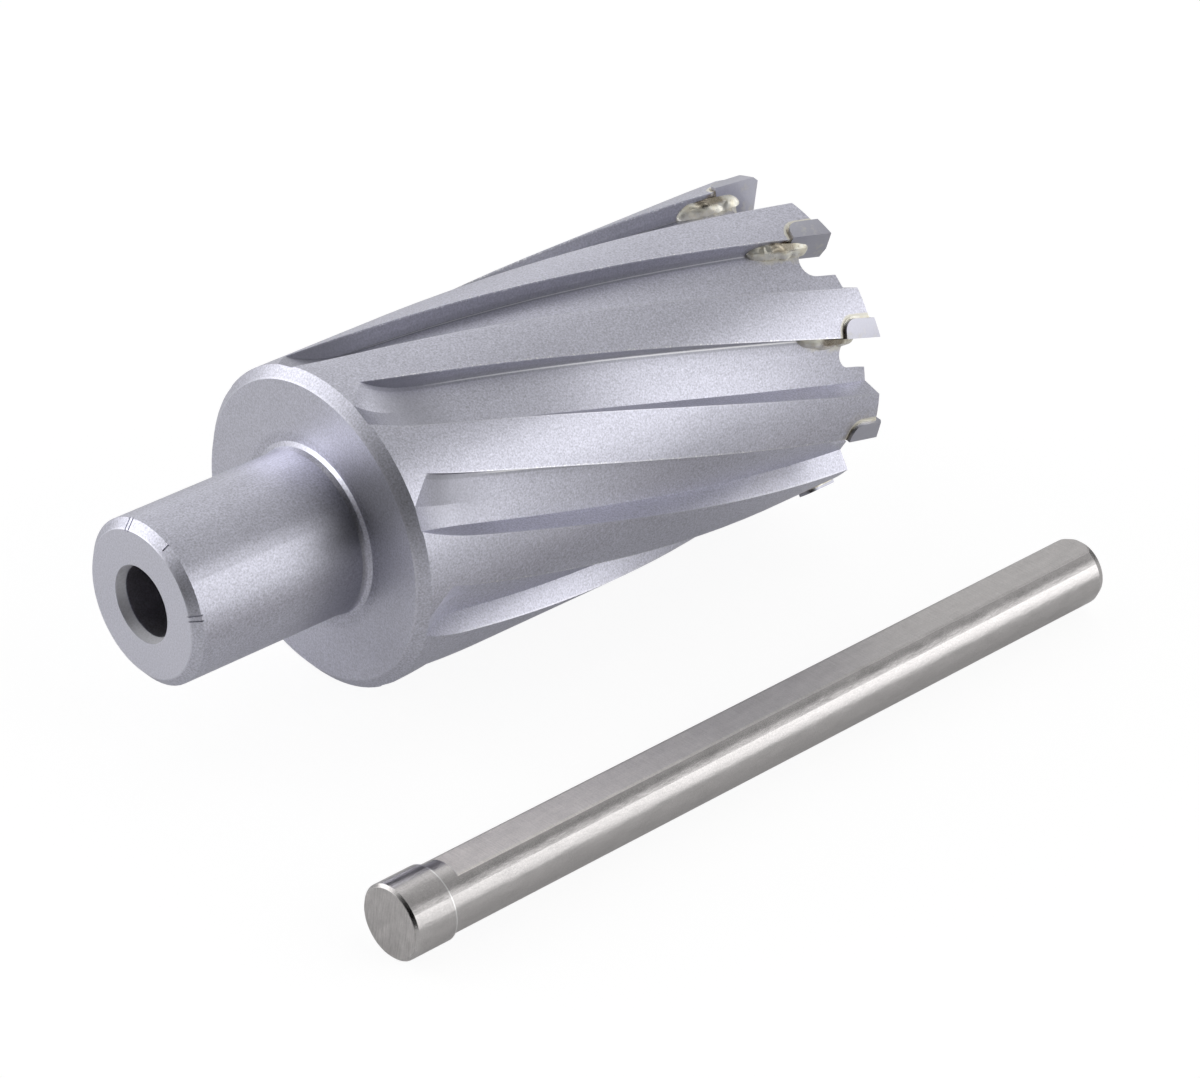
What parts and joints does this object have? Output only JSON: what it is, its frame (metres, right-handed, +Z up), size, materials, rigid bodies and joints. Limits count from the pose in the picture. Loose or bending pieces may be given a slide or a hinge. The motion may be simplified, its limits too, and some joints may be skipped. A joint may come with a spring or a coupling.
{
  "type": "annular cutter",
  "caption": "Hollow hole cutter with a plain shank, helical flutes and brazed carbide tips, lying on its side with its loose pilot pin beside it.",
  "frame": {"origin": "centre of the shank's end face, on the cutter's axis", "axes": "+X along the cutter's axis from the shank towards the teeth, +Z up as the cutter lies on its side, the pilot pin lies on the -Y side at the same level"},
  "size_m": [0.1068, 0.0652, 0.0378],
  "materials": {
    "body_steel": "matte bead-blasted steel",
    "carbide": "smooth ground carbide",
    "braze": "dull pale silver braze",
    "pin_steel": "turned and ground bright steel"
  },
  "bodies": {
    "root": {"cutter_body": "body_steel", "carbide_tip_1": "carbide", "carbide_tip_2": "carbide", "carbide_tip_3": "carbide", "carbide_tip_4": "carbide", "carbide_tip_5": "carbide", "carbide_tip_6": "carbide", "carbide_tip_7": "carbide", "carbide_tip_8": "carbide", "carbide_tip_9": "carbide", "tip_braze_1": "braze", "tip_braze_2": "braze", "tip_braze_3": "braze", "tip_braze_4": "braze", "tip_braze_5": "braze", "tip_braze_6": "braze", "tip_braze_7": "braze", "tip_braze_8": "braze", "tip_braze_9": "braze", "pilot_pin": "pin_steel"}
  },
  "joints": []
}
